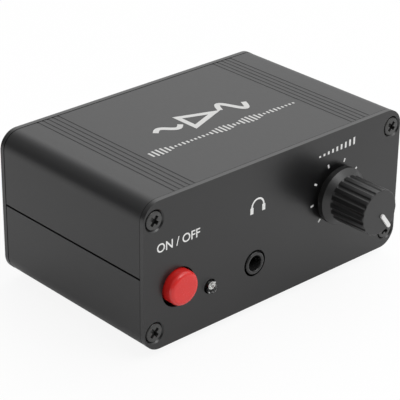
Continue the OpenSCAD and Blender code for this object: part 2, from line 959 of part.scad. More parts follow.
// axial part lying on the board with both leads bent down
module axial(p, r, len, span) {
    rise = board_top + r;
    union() {
        translate([p[0] - len / 2, y_front + p[1], z_mid + rise])
            rotate([0, 90, 0])
                cylinder(h = len, r = r);
        translate([p[0] - span, y_front + p[1], z_mid + rise])
            rotate([0, 90, 0])
                cylinder(h = 2 * span, r = lead_r);
        for (d = [-span, span]) {
            post(p + [d, 0], board_low - lead_tail, lead_r, rise - board_low + lead_tail);
            translate([p[0] + d, y_front + p[1], z_mid + rise])
                sphere(lead_r);
        }
    }
}

module resistors() {
    color([0.35, 0.55, 0.75])
        for (p = resistor_rows)
            axial(p, 1.1, 4.4, resistor_span);
}

module voltage_regulator() {
    color([0.2, 0.2, 0.21])
        difference() {
            union() {
                block(regulator_at[0], regulator_at[1] - regulator_t / 2, board_top + 2.5,
                    regulator_w, regulator_t, 9);
                block(regulator_at[0], regulator_at[1] + regulator_t / 2 - 1.3, board_top + 2.5,
                    regulator_w, 1.3, 15.4);
                lead_set(regulator_leads, board_top + 2.7);
            }
            slab(regulator_at[1] - 3, 8)
                translate([regulator_at[0], board_top + 14.6])
                    circle(1.8);
        }
}

module supply_diode() {
    color([0.2, 0.2, 0.2])
        axial(diode_at, diode_r, 5.2, diode_span);
}

upper_shell();
lower_shell();
front_plate();
rear_plate();
front_screws();
rear_screws();
rubber_feet();
circuit_board();
button_cap();
switch_plunger();
switch_housing();
switch_terminals();
lamp_lens();
lamp_leads();
jack_body();
jack_contacts();
volume_knob();
knob_pointer();
volume_shaft();
volume_rotors();
volume_bushing();
volume_washer();
volume_nut();
volume_housing();
volume_terminals();
socket_housings();
socket_sleeves();
white_inserts();
red_inserts();
socket_contacts();
socket_terminals();
inlet_body();
inlet_pin();
inlet_spring();
op_amp_socket();
op_amp_chip();
converter_chip();
supply_capacitors();
coupling_capacitors();
film_capacitors();
resistors();
voltage_regulator();
supply_diode();
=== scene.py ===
import math

import bmesh
import bpy
from mathutils import Matrix, Vector


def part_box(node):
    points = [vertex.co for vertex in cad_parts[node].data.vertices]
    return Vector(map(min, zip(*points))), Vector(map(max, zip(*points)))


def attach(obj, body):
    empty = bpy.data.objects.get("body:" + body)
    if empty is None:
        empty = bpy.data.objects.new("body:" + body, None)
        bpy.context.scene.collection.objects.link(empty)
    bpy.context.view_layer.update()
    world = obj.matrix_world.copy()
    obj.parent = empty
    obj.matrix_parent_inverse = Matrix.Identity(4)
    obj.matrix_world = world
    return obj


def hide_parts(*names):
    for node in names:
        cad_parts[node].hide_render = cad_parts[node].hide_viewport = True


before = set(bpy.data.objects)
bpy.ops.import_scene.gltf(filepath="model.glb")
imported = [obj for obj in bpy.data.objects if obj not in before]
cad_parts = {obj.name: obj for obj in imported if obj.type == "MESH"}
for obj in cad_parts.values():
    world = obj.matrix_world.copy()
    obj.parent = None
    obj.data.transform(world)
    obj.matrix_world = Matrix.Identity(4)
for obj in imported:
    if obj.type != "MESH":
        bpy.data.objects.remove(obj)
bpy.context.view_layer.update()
scene = bpy.context.scene

# Case halves
# Two lengths of one extruded aluminium bar, blasted and anodised black, that lock along
# their long edges with a tongue and a rebate. Five fine grooves run along each shoulder.
MM = 0.001


def make_grain_group():
    """Fine speckle and slow clouding of a surface, both from 0 to 1."""
    group = bpy.data.node_groups.new("surface_grain", "ShaderNodeTree")
    group.interface.new_socket("Vector", in_out="INPUT", socket_type="NodeSocketVector")
    for label in ("Speckle size", "Cloud size"):
        group.interface.new_socket(label, in_out="INPUT", socket_type="NodeSocketFloat")
    for label in ("Speckle", "Cloud"):
        group.interface.new_socket(label, in_out="OUTPUT", socket_type="NodeSocketFloat")
    given = group.nodes.new("NodeGroupInput")
    result = group.nodes.new("NodeGroupOutput")
    for label, detail in (("Speckle", 2.0), ("Cloud", 3.0)):
        scale = group.nodes.new("ShaderNodeMath")
        scale.operation = "DIVIDE"
        scale.inputs[0].default_value = 1.0
        noise = group.nodes.new("ShaderNodeTexNoise")
        noise.inputs["Detail"].default_value = detail
        group.links.new(given.outputs[label + " size"], scale.inputs[1])
        group.links.new(given.outputs["Vector"], noise.inputs["Vector"])
        group.links.new(scale.outputs[0], noise.inputs["Scale"])
        group.links.new(noise.outputs[0], result.inputs[label])
    return group


surface_grain = make_grain_group()
MIX_LOW, MIX_HIGH, MIX_RESULT = 6, 7, 2


def make_finish(name, low, high, rough, speckle, relief, cloud=12 * MM, stretch=(1, 1, 1),
                extra=None):
    """A finish whose colour clouds from low to high, with speckled gloss and a fine relief.
    Extra values go to the shader's inputs of those names."""
    finish = bpy.data.materials.new(name)
    finish.use_nodes = True
    nodes = finish.node_tree.nodes
    link = finish.node_tree.links.new
    shader = nodes["Principled BSDF"]
    for label, value in (extra or {}).items():
        shader.inputs[label].default_value = value
    place = nodes.new("ShaderNodeTexCoord")
    mapping = nodes.new("ShaderNodeMapping")
    mapping.inputs["Scale"].default_value = stretch
    grain = nodes.new("ShaderNodeGroup")
    grain.node_tree = surface_grain
    grain.inputs["Speckle size"].default_value = speckle
    grain.inputs["Cloud size"].default_value = cloud
    tint = nodes.new("ShaderNodeMix")
    tint.name = "tint"
    tint.data_type = "RGBA"
    tint.inputs[MIX_LOW].default_value = (*low, 1.0)
    tint.inputs[MIX_HIGH].default_value = (*high, 1.0)
    gloss = nodes.new("ShaderNodeMapRange")
    gloss.inputs["To Min"].default_value = rough[0]
    gloss.inputs["To Max"].default_value = rough[1]
    bump = nodes.new("ShaderNodeBump")
    bump.inputs["Distance"].default_value = relief
    link(place.outputs["Object"], mapping.inputs["Vector"])
    link(mapping.outputs["Vector"], grain.inputs["Vector"])
    link(grain.outputs["Cloud"], tint.inputs["Factor"])
    link(tint.outputs[MIX_RESULT], shader.inputs["Base Color"])
    link(grain.outputs["Speckle"], gloss.inputs["Value"])
    link(gloss.outputs["Result"], shader.inputs["Roughness"])
    link(grain.outputs["Speckle"], bump.inputs["Height"])
    link(bump.outputs["Normal"], shader.inputs["Normal"])
    return finish


def settle(piece):
    """Turns what a piece's modifiers give into its plain mesh."""
    depsgraph = bpy.context.evaluated_depsgraph_get()
    mesh = bpy.data.meshes.new_from_object(piece.evaluated_get(depsgraph))
    piece.modifiers.clear()
    piece.data = mesh
    return piece


def add_piece(name, data):
    """A new object in the scene with the given mesh, curve, lamp or camera."""
    piece = bpy.data.objects.new(name, data)
    scene.collection.objects.link(piece)
    return piece


merge_within = 0.001 * MM
flat_angle = math.radians(0.5)


def merged_copy(node):
    """A work mesh of a CAD node, with double points merged and flat faces joined."""
    work = bmesh.new()
    work.from_mesh(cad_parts[node].data)
    bmesh.ops.remove_doubles(work, verts=work.verts, dist=merge_within)
    bmesh.ops.dissolve_limit(work, angle_limit=flat_angle, verts=work.verts, edges=work.edges)
    return work


def piece_from(work, name):
    """A smooth piece with the points and faces of a work mesh, which is then let go."""
    work.verts.index_update()
    mesh = bpy.data.meshes.new(name)
    faces = [[corner.index for corner in face.verts] for face in work.faces]
    mesh.from_pydata([point.co.copy() for point in work.verts], [], faces)
    work.free()
    mesh.shade_smooth()
    return add_piece(name, mesh)


def soften(node, name, edge, reshape=None, sharp=45):
    """A merged copy of a CAD node, reshaped first where asked, with edges over an angle rounded."""
    work = merged_copy(node)
    if reshape:
        reshape(work)
    piece = piece_from(work, name)
    bevel = piece.modifiers.new("edge", "BEVEL")
    bevel.width = edge
    bevel.segments = 2
    bevel.limit_method = "ANGLE"
    bevel.angle_limit = math.radians(sharp)
    bevel.harden_normals = True
    return settle(piece)


def fit(piece, body, finish, slot, *stands_for):
    """Gives a piece its finish and its body, and hides the CAD nodes that it stands for; the slot
    is not used.
    """
    piece.data.materials.clear()
    piece.data.materials.append(finish)
    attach(piece, body)
    if stands_for:
        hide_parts(*stands_for)


anodised_case = make_finish("anodised_case", (0.0092, 0.0092, 0.0098), (0.0125, 0.0125, 0.0131),
                            (0.36, 0.44), 0.16 * MM, 0.0025 * MM, 20 * MM, (1, 0.12, 1))
bunch_x = 26.3 * MM
groove_pitch = 1.4 * MM
bunch_half = 2
arc_half = 0.475 * MM
arc_deep = 0.13 * MM
arc_edge = 1.002
groove_half = 0.24 * MM
groove_deep = 0.1 * MM


def draw_in_grooves(work, up):
    """Draws the wide arcs on the outer face of a case half into fine, steeper grooves."""
    outer = max(up * point.co.z for point in work.verts)
    for point in work.verts:
        reach = abs(point.co.x)
        step = max(-bunch_half, min(bunch_half, round((reach - bunch_x) / groove_pitch)))
        middle = bunch_x + step * groove_pitch
        across = (reach - middle) / arc_half
        if abs(across) < arc_edge and outer - up * point.co.z < arc_deep:
            point.co.x = math.copysign(middle + groove_half * across, point.co.x)
            point.co.z = up * (outer - groove_deep * max(0.0, 1 - across * across))


seam_z = (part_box("upper_shell")[1].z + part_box("lower_shell")[0].z) / 2
seam_half = 0.15 * MM
seam_more = 0.14 * MM
seam_slack = 0.02 * MM


def open_seam(work):
    """Draws the outer edge of the upper half up, so that the seam shows as a wide dark line."""
    for point in work.verts:
        if abs(point.co.z - seam_z - seam_half) < seam_slack:
            point.co.z += seam_more


def shape_half(work, up):
    """Works the grooves of a case half, and the seam on the upper one."""
    draw_in_grooves(work, up)
    if up > 0:
        open_seam(work)


shell_edge = 0.07 * MM
groove_sharp = 25
for half, up in (("upper_shell", 1), ("lower_shell", -1)):
    shell = soften(half, half + "_satin", shell_edge, lambda work: shape_half(work, up),
                   groove_sharp)
    fit(shell, "case", anodised_case, "anodised_case", half)

# Print on the lid
# White screen print, two hundredths of a millimetre thick: an amplifier sign with a small
# wave going in and a large one coming out, over a row of level bars.
PRINT_LIFT = 0.02 * MM
MITRE_LEAST = 0.35
lid_white = make_finish("lid_white", (0.59, 0.59, 0.58), (0.65, 0.65, 0.64),
                        (0.5, 0.6), 0.12 * MM, 0.003 * MM, 3 * MM)


def stroke_edges(path, width, closed):
    """Both edges of a flat stroke of even width along a path, with mitred turns."""
    edges = []
    last = len(path) - 1
    for i, here in enumerate(path):
        steps = []
        if i > 0 or closed:
            steps.append((here - path[i - 1]).normalized())
        if i < last or closed:
            steps.append((path[(i + 1) % len(path)] - here).normalized())
        along = sum(steps, Vector((0, 0))).normalized()
        across = Vector((-along.y, along.x))
        square = Vector((-steps[0].y, steps[0].x))
        half = across * (width / 2 / max(MITRE_LEAST, across.dot(square)))
        edges.append((here + half, here - half))
    return edges


def print_strokes(name, strokes, to_face):
    """Thin slabs of print along flat strokes, each a path, a width and whether it closes."""
    work = bmesh.new()
    for path, width, closed in strokes:
        edges = stroke_edges([Vector(p) for p in path], width, closed)
        rows = []
        for left, right in edges:
            flat = [(left, 0.0), (left, PRINT_LIFT), (right, PRINT_LIFT), (right, 0.0)]
            rows.append([work.verts.new((p.x, p.y, lift)) for p, lift in flat])
        pairs = list(zip(rows, rows[1:]))
        if closed:
            pairs.append((rows[-1], rows[0]))
        for near, far in pairs:
            for i in range(4):
                j = (i + 1) % 4
                work.faces.new((near[i], near[j], far[j], far[i]))
        if not closed:
            work.faces.new(rows[0])
            work.faces.new(rows[-1])
    bmesh.ops.recalc_face_normals(work, faces=work.faces)
    mesh = bpy.data.meshes.new(name)
    work.to_mesh(mesh)
    work.free()
    mesh.transform(to_face)
    return add_piece(name, mesh)


def wave(start, length, height, middle, steps=24):
    """Points along one turn of a sine wave."""
    turn = [i / steps for i in range(steps + 1)]
    return [(start + length * t, middle + height * math.sin(2 * math.pi * t)) for t in turn]


lid_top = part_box("upper_shell")[1].z
sign_y = 3.7 * MM
sign_half = 3.1 * MM
sign_reach = 4.2 * MM
sign_stroke = 1.3 * MM
wave_near = 6.0 * MM
wave_long = 7.2 * MM
small_wave = 1.2 * MM
large_wave = 2.7 * MM
triangle = [(-sign_reach, sign_y - sign_half), (sign_reach, sign_y),
            (-sign_reach, sign_y + sign_half)]
sign = [(wave(-wave_near - wave_long, wave_long, small_wave, sign_y), sign_stroke, False),
        (triangle, sign_stroke, True),
        (wave(wave_near, wave_long, large_wave, sign_y), sign_stroke, False)]
bars_y = -4.2 * MM
bar_pitch = 1.15 * MM
bar_count = 38
bar_wide = 0.5 * MM
bar_least = 0.3 * MM
bar_swell = 1.3 * MM
quick_step, quick_start = 0.41, 0.6
slow_step, slow_start = 0.13, 0.2
for i in range(bar_count):
    x = (i - (bar_count - 1) / 2) * bar_pitch
    quick = abs(math.sin(quick_step * i + quick_start))
    slow = abs(math.cos(slow_step * i + slow_start))
    reach = bar_least + bar_swell * quick * slow
    sign.append(([(x, bars_y - reach), (x, bars_y + reach)], bar_wide, False))
lid_print = print_strokes("lid_print", sign, Matrix.Translation((0, 0, lid_top)))
fit(lid_print, "case", lid_white, "pointer_white")

# Rubber feet
# Four low round feet of black rubber, moulded with a slightly smaller sole and stuck under
# the lower half.
rubber = make_finish("rubber", (0.016, 0.016, 0.016), (0.024, 0.024, 0.024),
                     (0.7, 0.85), 0.25 * MM, 0.01 * MM, 4 * MM)
feet = soften("rubber_feet", "rubber_feet_moulded", 0.2 * MM)
fit(feet, "case", rubber, "rubber", "rubber_feet")

# Circuit board
# Glass-fibre board, 1.2 mm thick, with green solder mask over copper tracks. It slides in
# the card slots of the lower half.
board_finish = make_finish("solder_mask", (0.006, 0.055, 0.022), (0.01, 0.08, 0.034),
                           (0.25, 0.4), 0.2 * MM, 0.004 * MM, 6 * MM)
board_nodes = board_finish.node_tree.nodes
board_link = board_finish.node_tree.links.new
track_field = 6 * MM
tracks = board_nodes.new("ShaderNodeTexBrick")
tracks.inputs["Scale"].default_value = 1 / track_field
tracks.inputs["Color1"].default_value = (0.007, 0.06, 0.024, 1)
tracks.inputs["Color2"].default_value = (0.009, 0.072, 0.03, 1)
tracks.inputs["Mortar"].default_value = (0.02, 0.13, 0.055, 1)
tracks.inputs["Mortar Size"].default_value = 0.06
board_link(board_nodes["Texture Coordinate"].outputs["Object"], tracks.inputs["Vector"])
board_link(tracks.outputs["Color"], board_nodes["tint"].inputs[MIX_HIGH])


def dress(finish, *nodes):
    """Gives CAD nodes a finish as they are."""
    for node in nodes:
        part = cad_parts[node]
        part.data.materials.clear()
        part.data.materials.append(finish)


dress(board_finish, "circuit_board")

# Parts on the board
# Two eight-pin chips, one in a socket, sleeved electrolytic cans, dipped film boxes, metal
# film resistors, a tab regulator and its diode, all soldered through the board.
chip_black = make_finish("chip_black", (0.014, 0.014, 0.015), (0.02, 0.02, 0.021),
                         (0.5, 0.65), 0.12 * MM, 0.006 * MM)
dress(chip_black, "op_amp_socket", "op_amp_chip", "converter_chip", "voltage_regulator",
      "supply_diode")
can_blue = make_finish("can_blue", (0.012, 0.018, 0.07), (0.018, 0.026, 0.095),
                       (0.22, 0.32), 0.3 * MM, 0.004 * MM, 5 * MM)
dress(can_blue, "supply_capacitors")
can_green = make_finish("can_green", (0.018, 0.075, 0.03), (0.026, 0.1, 0.04),
                        (0.22, 0.32), 0.3 * MM, 0.004 * MM, 5 * MM)
dress(can_green, "coupling_capacitors")
film_red = make_finish("film_red", (0.36, 0.025, 0.012), (0.46, 0.04, 0.02),
                       (0.25, 0.38), 0.3 * MM, 0.006 * MM, 4 * MM)
dress(film_red, "film_capacitors")
resistor_blue = make_finish("resistor_blue", (0.1, 0.26, 0.45), (0.14, 0.33, 0.54),
                            (0.3, 0.42), 0.2 * MM, 0.006 * MM, 3 * MM)
dress(resistor_blue, "resistors")

# Power switch
# A latching push switch on the board: black moulded housing, white plunger with a square
# carriage, and tinned legs through the board.
black_plastic = make_finish("black_plastic", (0.0135, 0.0135, 0.014), (0.0185, 0.0185, 0.019),
                            (0.38, 0.48), 0.14 * MM, 0.004 * MM)
white_plastic = make_finish("white_plastic", (0.66, 0.66, 0.62), (0.74, 0.74, 0.7),
                            (0.35, 0.45), 0.14 * MM, 0.004 * MM)
metal = {"Metallic": 1.0}
tinned = make_finish("tinned", (0.55, 0.55, 0.53), (0.66, 0.66, 0.64),
                     (0.25, 0.4), 0.1 * MM, 0.004 * MM, 2 * MM, extra=metal)
dress(black_plastic, "switch_housing")
dress(white_plastic, "switch_plunger")
dress(tinned, "switch_terminals", "volume_terminals", "socket_terminals", "lamp_leads")

# Lamp
# A clear 3 mm lamp with a domed end that stands a little out of its hole. The chip sits in
# a bright cup on one of its two leads.
smooth_angle = math.radians(35)


def lathe(name, outline, x, z, turns=96):
    """Spins an outline of radius and depth about a line along the depth through x and z."""
    work = bmesh.new()
    rings = []
    for radius, y in outline:
        if radius == 0:
            rings.append([work.verts.new((x, y, z))])
            continue
        angles = [2 * math.pi * k / turns for k in range(turns)]
        places = [(x + radius * math.sin(a), y, z + radius * math.cos(a)) for a in angles]
        rings.append([work.verts.new(place) for place in places])
    for near, far in zip(rings, rings[1:]):
        for k in range(turns):
            corners = [near[k % len(near)], near[(k + 1) % len(near)],
                       far[(k + 1) % len(far)], far[k % len(far)]]
            work.faces.new(list(dict.fromkeys(corners)))
    bmesh.ops.recalc_face_normals(work, faces=work.faces)
    mesh = bpy.data.meshes.new(name)
    work.to_mesh(mesh)
    work.free()
    mesh.shade_smooth()
    mesh.set_sharp_from_angle(angle=smooth_angle)
    return add_piece(name, mesh)


def arc(radius, y, bend, start, end, steps=8):
    """Points of radius and depth on a bend about a centre; 0 is outwards, 90 to the front."""
    points = []
    for i in range(steps + 1):
        a = math.radians(start + (end - start) * i / steps)
        points.append((radius + bend * math.cos(a), y - bend * math.sin(a)))
    return points


lamp_low, lamp_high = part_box("lamp_lens")
lamp_x = (lamp_low.x + lamp_high.x) / 2
lamp_z = (lamp_low.z + lamp_high.z) / 2
lamp_r = 1.5 * MM
lamp_rim = (lamp_high.x - lamp_low.x) / 2
lamp_dome = lamp_low.y + lamp_r
clear_lens = make_finish("clear_lens", (0.93, 0.94, 0.95), (0.98, 0.98, 0.98),
                         (0.02, 0.06), 0.3 * MM, 0.001 * MM, 2 * MM,
                         extra={"Transmission Weight": 1.0, "IOR": 1.52})
collar_y = lamp_high.y - 0.8 * MM
lens_outline = [(0, lamp_low.y)] + arc(0, lamp_dome, lamp_r, 88, 0, 14)
lens_outline += [(lamp_r, collar_y), (lamp_rim, collar_y)]
lens_outline += [(lamp_rim, lamp_high.y), (0, lamp_high.y)]
lens = lathe("lamp_lens_clear", lens_outline, lamp_x, lamp_z, 48)
fit(lens, "case", clear_lens, "clear_lens", "lamp_lens")
cup_x = lamp_x + 0.3 * MM
cup_y = lamp_dome + 0.15 * MM
cup_r = 0.55 * MM
cup_mouth_r = 0.45 * MM
cup_floor_r = 0.2 * MM
cup_back = cup_y + 2.2 * MM
cup_outline = [(0, cup_y + 0.4 * MM), (cup_floor_r, cup_y + 0.36 * MM), (cup_mouth_r, cup_y)]
cup_outline += [(cup_r, cup_y), (cup_r, cup_back), (0, cup_back)]
fit(lathe("lamp_cup", cup_outline, cup_x, lamp_z, 32), "case", tinned, "tinned")

# Phones jack
# A moulded 3.5 mm jack with a round nose that fills its hole in the front plate. Three
# sprung contacts of plated brass reach in beside the plug hole.
brass_plated = make_finish("brass_plated", (0.62, 0.46, 0.2), (0.72, 0.56, 0.28),
                           (0.22, 0.34), 0.1 * MM, 0.003 * MM, 2 * MM, extra=metal)
jack_plastic = make_finish("jack_plastic", (0.014, 0.014, 0.0145), (0.019, 0.019, 0.0195),
                           (0.2, 0.28), 0.14 * MM, 0.002 * MM)


def round_front(node, name, edge):
    """A merged copy of a CAD node with only the edges of its front face rounded."""
    work = merged_copy(node)
    just_behind = min(point.co.y for point in work.verts) + 0.01 * MM
    rims = [line for line in work.edges if all(point.co.y < just_behind for point in line.verts)
            and line.calc_face_angle(0.0) > math.radians(45)]
    bmesh.ops.bevel(work, geom=rims, offset=edge, segments=4, profile=0.5, affect="EDGES")
    piece = piece_from(work, name)
    piece.data.set_sharp_from_angle(angle=smooth_angle)
    return piece


jack = round_front("jack_body", "jack_body_moulded", 0.3 * MM)
fit(jack, "case", jack_plastic, "black_plastic", "jack_body")
dress(brass_plated, "jack_contacts")

# Volume control
# A double potentiometer behind the front plate: pressed steel can, brass bushing with its
# nut and washer, steel shaft with a flat, and two wiper carriers.
steel = make_finish("steel", (0.42, 0.42, 0.41), (0.52, 0.52, 0.5),
                    (0.28, 0.42), 0.12 * MM, 0.003 * MM, 5 * MM, (1, 0.2, 1), extra=metal)
rotor_plastic = make_finish("rotor_plastic", (0.5, 0.43, 0.3), (0.58, 0.5, 0.36),
                            (0.4, 0.55), 0.15 * MM, 0.004 * MM)
nickel = make_finish("nickel", (0.62, 0.6, 0.56), (0.72, 0.7, 0.66),
                     (0.16, 0.26), 0.1 * MM, 0.0015 * MM, 6 * MM, (1, 4, 1), extra=metal)
dress(steel, "volume_housing", "volume_shaft")
dress(rotor_plastic, "volume_rotors")
dress(brass_plated, "volume_bushing")
dress(nickel, "volume_washer", "volume_nut")

# Line sockets
# Two stacked pairs of phono sockets: black housings on the board, nickel-plated sleeves
# through the rear plate, white inserts on top and red below, and plated centre contacts.
insert_white = make_finish("insert_white", (0.7, 0.7, 0.67), (0.78, 0.78, 0.75),
                           (0.3, 0.4), 0.14 * MM, 0.003 * MM)
insert_red = make_finish("insert_red", (0.5, 0.016, 0.014), (0.6, 0.024, 0.02),
                         (0.3, 0.4), 0.14 * MM, 0.003 * MM)
dress(black_plastic, "socket_housings")
ring_edge = 0.08 * MM
for ring, made, finish, slot in (("socket_sleeves", "_plated", nickel, "nickel"),
                                 ("white_inserts", "_moulded", insert_white, "white_insert"),
                                 ("red_inserts", "_moulded", insert_red, "red_insert")):
    fit(soften(ring, ring + made, ring_edge), "case", finish, slot, ring)
dress(brass_plated, "socket_contacts")

# Supply inlet
# A low-voltage inlet for a 5.5 mm plug: black moulded body with a nose in the rear plate, a
# plated centre pin and a side spring.
inlet = soften("inlet_body", "inlet_body_moulded", 0.14 * MM)
fit(inlet, "case", black_plastic, "black_plastic", "inlet_body")
dress(nickel, "inlet_pin", "inlet_spring")

# End plates
# Front and rear plates milled from aluminium sheet, with rounded corners and a small step
# behind the rim that leaves a dark line round the case. They are blasted and anodised black.
anodised_plate = make_finish("anodised_plate", (0.006, 0.006, 0.0063), (0.0085, 0.0085, 0.0089),
                             (0.26, 0.33), 0.15 * MM, 0.0025 * MM, 18 * MM,
                             extra={"Specular IOR Level": 0.55})
plate_edge = 0.12 * MM
for plate in ("front_plate", "rear_plate"):
    cover = soften(plate, plate + "_satin", plate_edge)
    fit(cover, "case", anodised_plate, "anodised_plate", plate)

# Print on the front plate
# White screen print: words over the power button, a headset sign over the jack, rising bars
# over the volume knob and eight dial strokes round it.
white_print = make_finish("white_print", (0.76, 0.76, 0.75), (0.83, 0.83, 0.82),
                          (0.5, 0.6), 0.12 * MM, 0.003 * MM, 3 * MM)
face_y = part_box("front_plate")[0].y
face_z = (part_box("front_plate")[0].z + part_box("front_plate")[1].z) / 2
to_front = Matrix.Translation((0, face_y, face_z)) @ Matrix.Rotation(math.radians(90), 4, "X")
knob_low, knob_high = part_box("volume_knob")
knob_x = (knob_low.x + knob_high.x) / 2
knob_z = (knob_low.z + knob_high.z) / 2
CAP_SHARE = 0.7
STROKE_MORE = 0.03 * MM


def print_words(name, words, cap_height, middle):
    """Flat words of a cap height about a middle point of the front plate."""
    curve = bpy.data.curves.new(name, "FONT")
    curve.body = words
    curve.size = cap_height / CAP_SHARE
    curve.align_x = "CENTER"
    curve.align_y = "CENTER"
    curve.extrude = PRINT_LIFT / 2
    curve.offset = STROKE_MORE
    holder = add_piece(name + "_curve", curve)
    depsgraph = bpy.context.evaluated_depsgraph_get()
    mesh = bpy.data.meshes.new_from_object(holder.evaluated_get(depsgraph))
    bpy.data.objects.remove(holder)
    mesh.transform(to_front @ Matrix.Translation((middle[0], middle[1], PRINT_LIFT / 2)))
    return add_piece(name, mesh)


words = print_words("switch_words", "ON / OFF", 2.0 * MM, (-29.0 * MM, 6.3 * MM))
fit(words, "case", white_print, "pointer_white")


def circle_path(x, z, radius, start, end, steps=20):
    """Points on a round path, with angles from the right, turning left."""
    angles = [math.radians(start + (end - start) * i / steps) for i in range(steps + 1)]
    return [(x + radius * math.cos(a), z + radius * math.sin(a)) for a in angles]


headset_x = -6.35 * MM
headset_z = 6.9 * MM
headset_r = 1.75 * MM
band_wide = 0.42 * MM
ear_wide = 0.9 * MM
ear_long = 1.5 * MM
front_strokes = [(circle_path(headset_x, headset_z, headset_r, 0, 180), band_wide, False)]
for side in (-1, 1):
    ear = headset_x + side * headset_r
    front_strokes.append(([(ear, headset_z), (ear, headset_z - ear_long)], ear_wide, False))
ramp_count = 9
ramp_z = 12.45 * MM
ramp_pitch = 1.35 * MM
ramp_wide = 0.55 * MM
ramp_least = 0.4 * MM
ramp_step = 0.17 * MM
for i in range(ramp_count):
    x = knob_x + (i - (ramp_count - 1) / 2) * ramp_pitch
    tall = ramp_least + ramp_step * i
    front_strokes.append(([(x, ramp_z), (x, ramp_z + tall)], ramp_wide, False))
fit(print_strokes("front_signs", front_strokes, to_front), "case", white_print, "pointer_white")


def node_tree_with(name, inputs):
    """An empty geometry tree with named inputs; gives the tree, its input and its output."""
    tree = bpy.data.node_groups.new(name, "GeometryNodeTree")
    for label, kind in inputs:
        tree.interface.new_socket(label, in_out="INPUT", socket_type="NodeSocket" + kind)
    tree.interface.new_socket("Geometry", in_out="OUTPUT", socket_type="NodeSocketGeometry")
    return tree, tree.nodes.new("NodeGroupInput"), tree.nodes.new("NodeGroupOutput")


def close_tree(tree, given, result, geometry):
    """Ends a tree in real faces with a finish."""
    realise = tree.nodes.new("GeometryNodeRealizeInstances")
    paint = tree.nodes.new("GeometryNodeSetMaterial")
    tree.links.new(geometry, realise.inputs[0])
    tree.links.new(realise.outputs[0], paint.inputs["Geometry"])
    tree.links.new(given.outputs["Finish"], paint.inputs["Material"])
    tree.links.new(paint.outputs[0], result.inputs[0])


def grow(name, base, tree, values):
    """Runs a geometry tree on a base mesh with named values and keeps the plain mesh."""
    piece = add_piece(name, base)
    growth = piece.modifiers.new(tree.name, "NODES")
    growth.node_group = tree
    for socket in tree.interface.items_tree:
        if socket.in_out == "INPUT" and socket.name in values:
            growth[socket.identifier] = values[socket.name]
    return settle(piece)


def make_dial_tree():
    """Equal strokes set round an axis along the depth, turned by even steps."""
    inputs = [("Strokes", "Int"), ("First angle", "Float"), ("Step", "Float"),
              ("Middle radius", "Float"), ("Stroke", "Vector"), ("Axis", "Vector"),
              ("Finish", "Material")]
    tree, given, result = node_tree_with("dial_strokes", inputs)
    new, link = tree.nodes.new, tree.links.new
    line = new("GeometryNodeMeshLine")
    line.inputs["Offset"].default_value = (0, 0, 0)
    link(given.outputs["Strokes"], line.inputs["Count"])
    link(given.outputs["Axis"], line.inputs["Start Location"])
    slab = new("GeometryNodeMeshCube")
    link(given.outputs["Stroke"], slab.inputs["Size"])
    reach = new("ShaderNodeCombineXYZ")
    link(given.outputs["Middle radius"], reach.inputs["Z"])
    shift = new("GeometryNodeTransform")
    link(slab.outputs["Mesh"], shift.inputs["Geometry"])
    link(reach.outputs[0], shift.inputs["Translation"])
    index = new("GeometryNodeInputIndex")
    angle = new("ShaderNodeMath")
    angle.operation = "MULTIPLY_ADD"
    link(index.outputs[0], angle.inputs[0])
    link(given.outputs["Step"], angle.inputs[1])
    link(given.outputs["First angle"], angle.inputs[2])
    turn = new("ShaderNodeCombineXYZ")
    link(angle.outputs[0], turn.inputs["Y"])
    rotation = new("FunctionNodeEulerToRotation")
    link(turn.outputs[0], rotation.inputs[0])
    place = new("GeometryNodeInstanceOnPoints")
    link(line.outputs["Mesh"], place.inputs["Points"])
    link(shift.outputs["Geometry"], place.inputs["Instance"])
    link(rotation.outputs[0], place.inputs["Rotation"])
    close_tree(tree, given, result, place.outputs["Instances"])
    return tree


dial_z = knob_z + 0.25 * MM
dial = grow("dial_strokes", bpy.data.meshes.new("dial_base"), make_dial_tree(),
            {"Strokes": 8, "First angle": math.radians(-140), "Step": math.radians(40),
             "Middle radius": 7.4 * MM, "Stroke": (0.46 * MM, PRINT_LIFT, 0.9 * MM),
             "Axis": (knob_x, face_y - PRINT_LIFT / 2, dial_z), "Finish": white_print})
fit(dial, "case", white_print, "pointer_white")

# Plate screws
# Eight countersunk screws with a cross recess, black zinc plated, their heads down in wider
# countersinks. Four hold each plate to the screw channels in the corners of the case.
screw_finish = make_finish("screw_black", (0.03, 0.03, 0.0295), (0.042, 0.042, 0.041),
                           (0.26, 0.38), 0.1 * MM, 0.004 * MM, 1.5 * MM)
DRAW_LEAST, DRAW_MOST, DRAW_RESULT = 2, 3, 1


